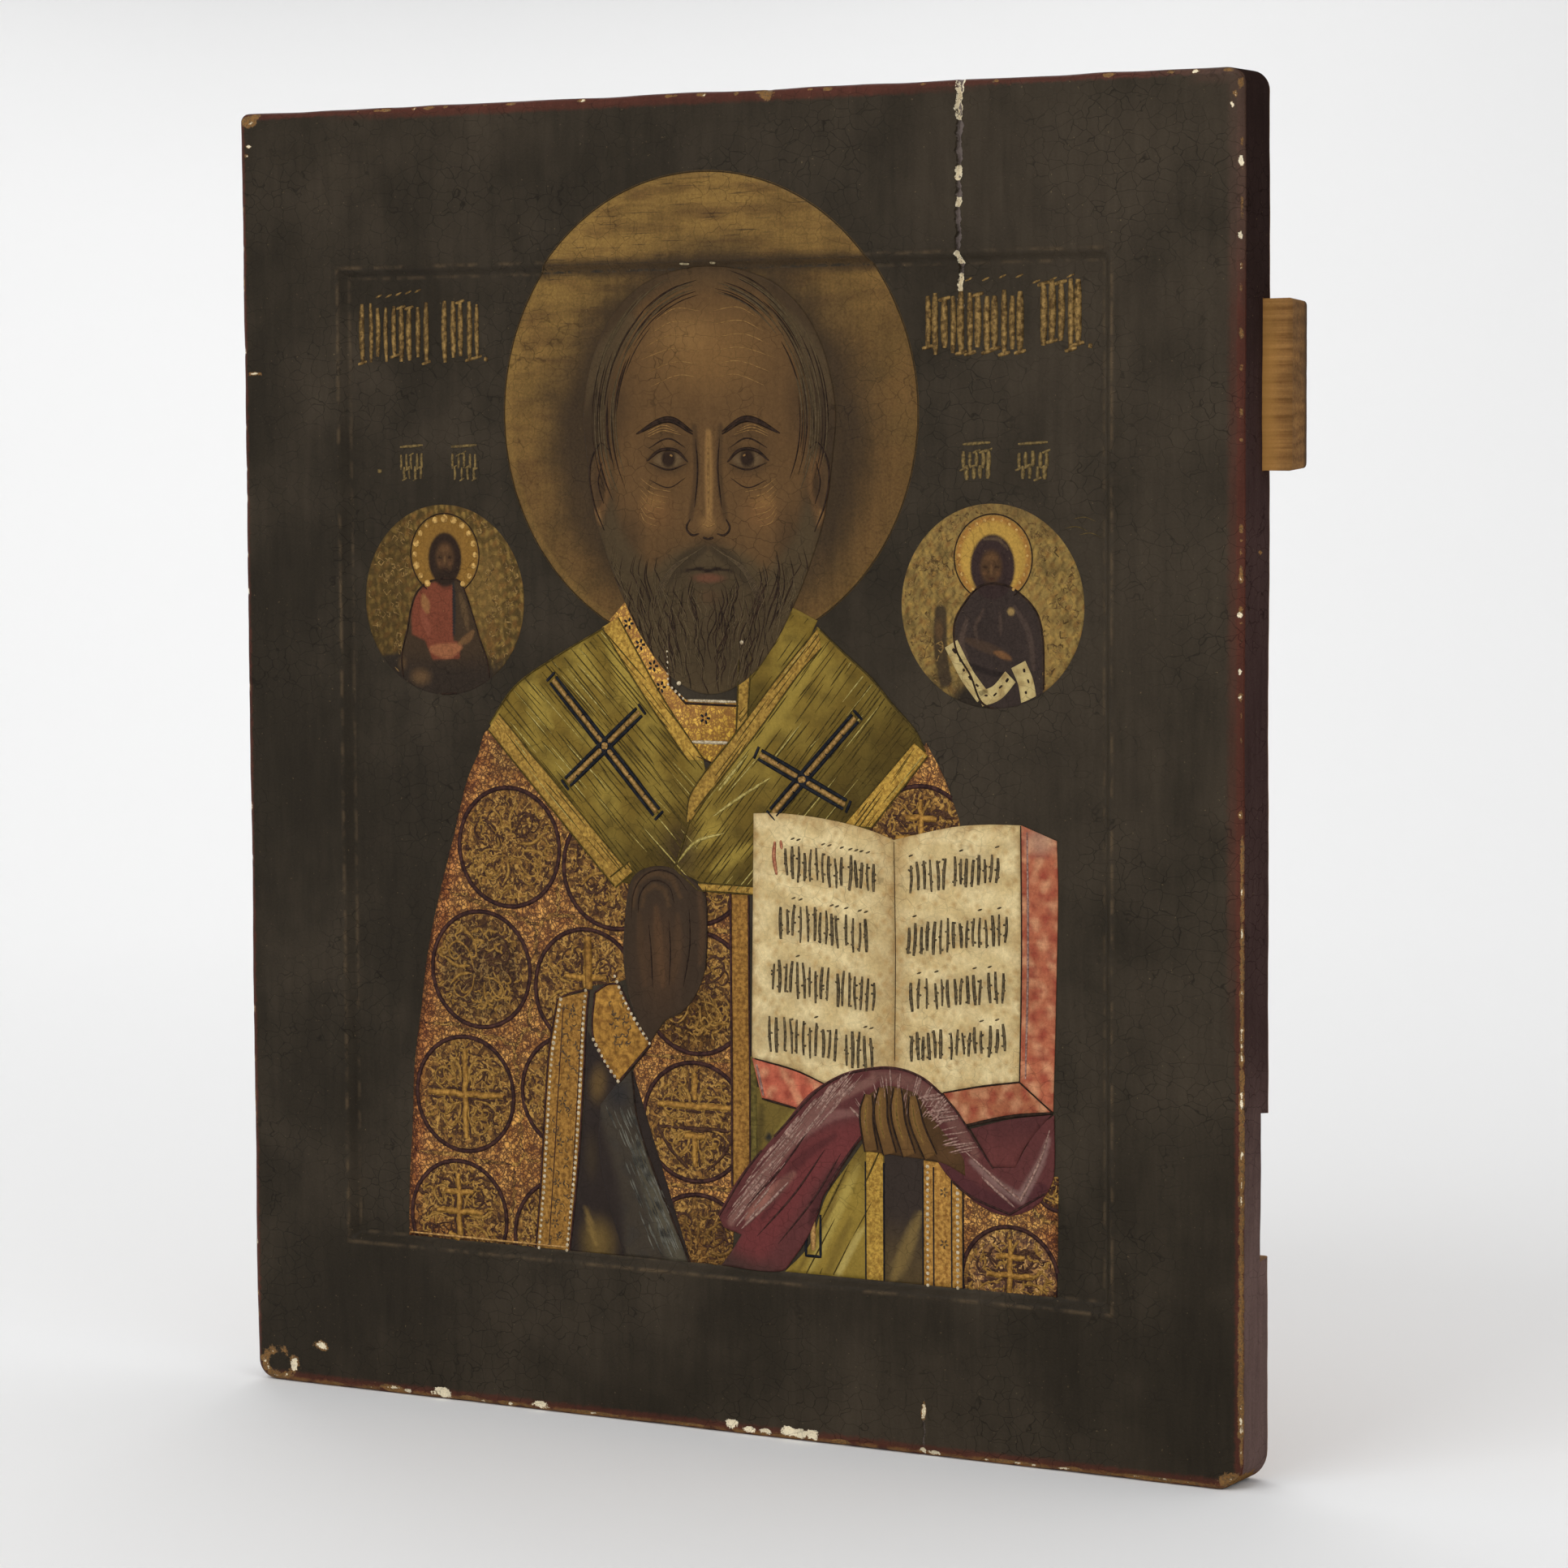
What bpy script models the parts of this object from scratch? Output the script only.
"""Painted wooden icon panel, standing on its lower edge.

One solid board has a shallow sunken field cut into its front, and two tapered
dovetail battens are driven into slots across its back from opposite sides.

Frame, in metres: the origin is the middle of the board's underside, +X runs to
the viewer's right, +Y to the back of the board and +Z up.
"""

import math

import bmesh
import bpy
from mathutils import Matrix, Vector

# Board
BOARD_WIDTH = 0.381
BOARD_HEIGHT = 0.445
BOARD_THICKNESS = 0.022
CORNER_RADIUS_TOP_LEFT = 0.0030
CORNER_RADIUS_TOP_RIGHT = 0.0065
CORNER_RADIUS_BOTTOM_RIGHT = 0.0095
CORNER_RADIUS_BOTTOM_LEFT = 0.0070
FRONT_ARRIS_RADIUS = 0.0022
BACK_ARRIS_RADIUS = 0.0015
ARC_STEP_DEG = 15.0
ARRIS_SEGMENTS = 3

# Sunken field: raised margins round it, and the slope down to its floor
MARGIN_LEFT = 0.0407
MARGIN_RIGHT = 0.0450
MARGIN_TOP = 0.0545
MARGIN_BOTTOM = 0.0525
FIELD_DEPTH = 0.0025
FIELD_SLOPE_RUN = 0.0035

# Slots and battens. Widths are at the board's back face.
SLOT_DEPTH = 0.0070
SLOT_WALL_LEAN = 0.0008
SLOT_WIDE_END = 0.0525
SLOT_NARROW_END = 0.0457
UPPER_SLOT_HEIGHT = 0.3473
LOWER_SLOT_HEIGHT = 0.0948
BATTEN_PROUD = 0.0045
BATTEN_NARROW_END_SHORT = 0.0140
UPPER_BATTEN_OVERHANG = 0.0100
LOWER_BATTEN_OVERHANG = 0.0040
BATTEN_END_RADIUS = 0.0020
BATTEN_ARRIS = 0.0008
FIT_GAP = 0.0003

# Open cracks along the grain of the front
TOP_CRACK_X = 0.0900
TOP_CRACK_LENGTH = 0.0500
TOP_CRACK_WIDTH = 0.0026
TOP_CRACK_DEPTH = 0.0016
TOP_CRACK_DRIFT = 0.0018
BOTTOM_CRACK_X = 0.0775
BOTTOM_CRACK_FOOT = 0.0040
BOTTOM_CRACK_LENGTH = 0.0160
BOTTOM_CRACK_WIDTH = 0.0012
BOTTOM_CRACK_DEPTH = 0.0009
CRACK_TIP_SHARE = 0.15

CUTTER_REACH = 0.006

FRONT_Y = -BOARD_THICKNESS / 2
BACK_Y = BOARD_THICKNESS / 2
HALF_WIDTH = BOARD_WIDTH / 2

PAINT_COLOR = (0.032, 0.025, 0.018, 1.0)
PAINT_ROUGHNESS = 0.42
WOOD_COLOR = (0.300, 0.150, 0.042, 1.0)
WOOD_ROUGHNESS = 0.75


def clear_scene():
    """Remove every object that is already in the file."""
    for old in list(bpy.data.objects):
        bpy.data.objects.remove(old, do_unlink=True)


def new_collection(name):
    """Add a collection to the scene and return it."""
    collection = bpy.data.collections.new(name)
    bpy.context.scene.collection.children.link(collection)
    return collection


def new_material(name, color, roughness):
    """Return a plain Principled material."""
    material = bpy.data.materials.new(name)
    material.use_nodes = True
    shader = material.node_tree.nodes["Principled BSDF"]
    shader.inputs["Base Color"].default_value = color
    shader.inputs["Roughness"].default_value = roughness
    shader.inputs["Metallic"].default_value = 0.0
    return material


def add_object(name, mesh, collection, parent=None):
    """Put a mesh into a collection as a named object."""
    item = bpy.data.objects.new(name, mesh)
    collection.objects.link(item)
    item.parent = parent
    return item


def corner_arc(centre_x, centre_z, radius, start_deg):
    """Points of a quarter circle, anticlockwise seen from the front."""
    steps = round(90.0 / ARC_STEP_DEG)
    angles = [math.radians(start_deg + ARC_STEP_DEG * step) for step in range(steps + 1)]
    return [(centre_x + radius * math.cos(a), centre_z + radius * math.sin(a)) for a in angles]


def board_outline():
    """The board's front outline, with its own radius at each worn corner."""
    outline = []
    corners = (
        (1, BOARD_HEIGHT, CORNER_RADIUS_TOP_RIGHT, 0),
        (-1, BOARD_HEIGHT, CORNER_RADIUS_TOP_LEFT, 90),
        (-1, 0.0, CORNER_RADIUS_BOTTOM_LEFT, 180),
        (1, 0.0, CORNER_RADIUS_BOTTOM_RIGHT, 270),
    )
    for side, edge_z, radius, start_deg in corners:
        inward_z = radius if edge_z == 0.0 else -radius
        centre_x = side * (HALF_WIDTH - radius)
        outline += corner_arc(centre_x, edge_z + inward_z, radius, start_deg)
    return outline


def extruded_board_mesh(name):
    """Extrude the outline as a filled curve and return it as one closed mesh."""
    curve = bpy.data.curves.new(name + "_outline", "CURVE")
    curve.dimensions = "2D"
    curve.fill_mode = "BOTH"
    curve.extrude = BOARD_THICKNESS / 2
    outline = board_outline()
    spline = curve.splines.new("POLY")
    spline.points.add(len(outline) - 1)
    for point, (x, z) in zip(spline.points, outline):
        point.co = (x, z, 0.0, 1.0)
    spline.use_cyclic_u = True

    holder = bpy.data.objects.new(name + "_outline", curve)
    holder.rotation_euler = (math.radians(90.0), 0.0, 0.0)
    bpy.context.scene.collection.objects.link(holder)
    bpy.context.view_layer.update()
    evaluated = holder.evaluated_get(bpy.context.evaluated_depsgraph_get())
    mesh = bpy.data.meshes.new_from_object(evaluated)
    mesh.name = name
    mesh.transform(holder.matrix_world)
    bpy.data.objects.remove(holder, do_unlink=True)

    bm = bmesh.new()
    bm.from_mesh(mesh)
    bmesh.ops.remove_doubles(bm, verts=bm.verts, dist=1e-6)
    bmesh.ops.dissolve_limit(bm, angle_limit=math.radians(1.0), verts=bm.verts, edges=bm.edges)
    bm.to_mesh(mesh)
    bm.free()
    return mesh


def weight_rim(mesh):
    """Give the front rim full bevel weight and the back rim its smaller share."""
    weights = mesh.attributes.new("bevel_weight_edge", "FLOAT", "EDGE")
    for edge in mesh.edges:
        depths = [mesh.vertices[index].co.y for index in edge.vertices]
        if max(depths) < FRONT_Y + FIT_GAP:
            weights.data[edge.index].value = 1.0
        elif min(depths) > BACK_Y - FIT_GAP:
            weights.data[edge.index].value = BACK_ARRIS_RADIUS / FRONT_ARRIS_RADIUS


def round_rim(board):
    """Round the front and back arrises of the board."""
    bevel = board.modifiers.new("rounded_arrises", "BEVEL")
    bevel.limit_method = "WEIGHT"
    bevel.width = FRONT_ARRIS_RADIUS
    bevel.segments = ARRIS_SEGMENTS


def shaped_box(name, place):
    """A cube primitive whose corners are moved by place(x, y, z), each -1 or 1."""
    bm = bmesh.new()
    bmesh.ops.create_cube(bm, size=2.0)
    for vert in bm.verts:
        vert.co = Vector(place(*(round(value) for value in vert.co)))
    mesh = bpy.data.meshes.new(name)
    bm.to_mesh(mesh)
    bm.free()
    return mesh


def field_cutter_mesh():
    """A shallow tray with sloping walls that sinks the picture field."""
    floor_y = FRONT_Y + FIELD_DEPTH
    slope = FIELD_SLOPE_RUN / FIELD_DEPTH

    def place(side_x, side_y, side_z):
        y = floor_y if side_y > 0 else FRONT_Y - CUTTER_REACH
        spread = slope * (floor_y - y) - FIELD_SLOPE_RUN
        low_x = -HALF_WIDTH + MARGIN_LEFT - spread
        high_x = HALF_WIDTH - MARGIN_RIGHT + spread
        low_z = MARGIN_BOTTOM - spread
        high_z = BOARD_HEIGHT - MARGIN_TOP + spread
        return (high_x if side_x > 0 else low_x, y, high_z if side_z > 0 else low_z)

    return shaped_box("field_cutter", place)


def mouth_half_width(x, wide_side):
    """Half the slot's width at the back face, at a place along the board."""
    share = 0.5 + 0.5 * wide_side * x / HALF_WIDTH
    return 0.5 * (SLOT_NARROW_END + (SLOT_WIDE_END - SLOT_NARROW_END) * share)


def dovetail_mesh(name, low_x, high_x, inner_y, outer_y, wide_side, clearance):
    """A tapered dovetail bar along X, centred on z = 0.

    wide_side is 1 where the bar widens towards +X and -1 where it widens towards -X.
    """
    lean = SLOT_WALL_LEAN / SLOT_DEPTH

    def place(side_x, side_y, side_z):
        x = high_x if side_x > 0 else low_x
        y = outer_y if side_y > 0 else inner_y
        half = mouth_half_width(x, wide_side) + lean * (BACK_Y - y) - clearance
        return (x, y, side_z * half)

    return shaped_box(name, place)


def slot_cutter_mesh(name, wide_side):
    """The dovetail slot right across the board."""
    reach = HALF_WIDTH + CUTTER_REACH
    return dovetail_mesh(name, -reach, reach, BACK_Y - SLOT_DEPTH, BACK_Y + CUTTER_REACH, wide_side, 0.0)


def batten_mesh(name, wide_side, overhang):
    """A batten with rounded ends and eased outer edges, short at its narrow end."""
    wide_end = wide_side * (HALF_WIDTH + overhang)
    narrow_end = -wide_side * (HALF_WIDTH - BATTEN_NARROW_END_SHORT)
    inner_y = BACK_Y - SLOT_DEPTH + FIT_GAP
    outer_y = BACK_Y + BATTEN_PROUD
    low_x, high_x = sorted((wide_end, narrow_end))
    mesh = dovetail_mesh(name, low_x, high_x, inner_y, outer_y, wide_side, FIT_GAP)

    bm = bmesh.new()
    bm.from_mesh(mesh)
    upright = [edge for edge in bm.edges if abs(edge.verts[0].co.y - edge.verts[1].co.y) > SLOT_DEPTH]
    bmesh.ops.bevel(
        bm, geom=upright, offset=BATTEN_END_RADIUS, segments=ARRIS_SEGMENTS, affect="EDGES", profile=0.5
    )
    rim = [edge for edge in bm.edges if all(vert.co.y > outer_y - 1e-6 for vert in edge.verts)]
    bmesh.ops.bevel(bm, geom=rim, offset=BATTEN_ARRIS, segments=2, affect="EDGES", profile=0.5)
    bm.to_mesh(mesh)
    bm.free()
    return mesh


def crack_cutter_mesh(name, length, width, depth, drift):
    """A wedge along the grain, open at the top of its run and fading to a tip."""

    def place(side_x, side_y, side_z):
        share = 1.0 if side_z > 0 else CRACK_TIP_SHARE
        middle = 0.0 if side_z > 0 else drift
        y = depth * share if side_y > 0 else -CUTTER_REACH
        half = width / 2 * share * (0.35 if side_y > 0 else 1.0 + CUTTER_REACH / depth / 2)
        return (middle + side_x * half, y, length / 2 * side_z)

    return shaped_box(name, place)


def subtract(target, cutter):
    """Cut one object out of another and keep the cutter as a hidden guide."""
    cutter.display_type = "WIRE"
    cutter.hide_render = True
    boolean = target.modifiers.new("cut_" + cutter.name, "BOOLEAN")
    boolean.operation = "DIFFERENCE"
    boolean.solver = "EXACT"
    boolean.object = cutter


def build_panel(parts, cutters, root):
    """Build the board and cut its field, slots and cracks."""
    mesh = extruded_board_mesh("panel")
    weight_rim(mesh)
    panel = add_object("panel", mesh, parts, root)
    panel.data.materials.append(new_material("dark_paint", PAINT_COLOR, PAINT_ROUGHNESS))
    round_rim(panel)

    field = add_object("field_cutter", field_cutter_mesh(), cutters)
    subtract(panel, field)
    for name, height, wide_side in (
        ("upper_slot_cutter", UPPER_SLOT_HEIGHT, 1),
        ("lower_slot_cutter", LOWER_SLOT_HEIGHT, -1),
    ):
        slot = add_object(name, slot_cutter_mesh(name, wide_side), cutters)
        slot.location = (0.0, 0.0, height)
        subtract(panel, slot)

    top = add_object(
        "top_crack_cutter",
        crack_cutter_mesh(
            "top_crack_cutter", TOP_CRACK_LENGTH, TOP_CRACK_WIDTH, TOP_CRACK_DEPTH, TOP_CRACK_DRIFT
        ),
        cutters,
    )
    top.location = (TOP_CRACK_X, FRONT_Y, BOARD_HEIGHT + CUTTER_REACH / 2 - TOP_CRACK_LENGTH / 2)
    subtract(panel, top)
    bottom = add_object(
        "bottom_crack_cutter",
        crack_cutter_mesh(
            "bottom_crack_cutter", BOTTOM_CRACK_LENGTH, BOTTOM_CRACK_WIDTH, BOTTOM_CRACK_DEPTH, 0.0
        ),
        cutters,
    )
    bottom.location = (BOTTOM_CRACK_X, FRONT_Y, BOTTOM_CRACK_FOOT + BOTTOM_CRACK_LENGTH / 2)
    subtract(panel, bottom)
    return panel


def build_battens(parts, root):
    """Build the two battens, each driven in from its own side."""
    wood = new_material("bare_wood", WOOD_COLOR, WOOD_ROUGHNESS)
    for name, height, wide_side, overhang in (
        ("upper_batten", UPPER_SLOT_HEIGHT, 1, UPPER_BATTEN_OVERHANG),
        ("lower_batten", LOWER_SLOT_HEIGHT, -1, LOWER_BATTEN_OVERHANG),
    ):
        batten = add_object(name, batten_mesh(name, wide_side, overhang), parts, root)
        batten.location = (0.0, 0.0, height)
        batten.data.materials.append(wood)


def main():
    """Build the whole panel."""
    clear_scene()
    parts = new_collection("icon_panel")
    cutters = new_collection("icon_panel_cutters")
    root = bpy.data.objects.new("icon_panel_origin", None)
    root.matrix_world = Matrix.Identity(4)
    parts.objects.link(root)
    build_panel(parts, cutters, root)
    build_battens(parts, root)


main()
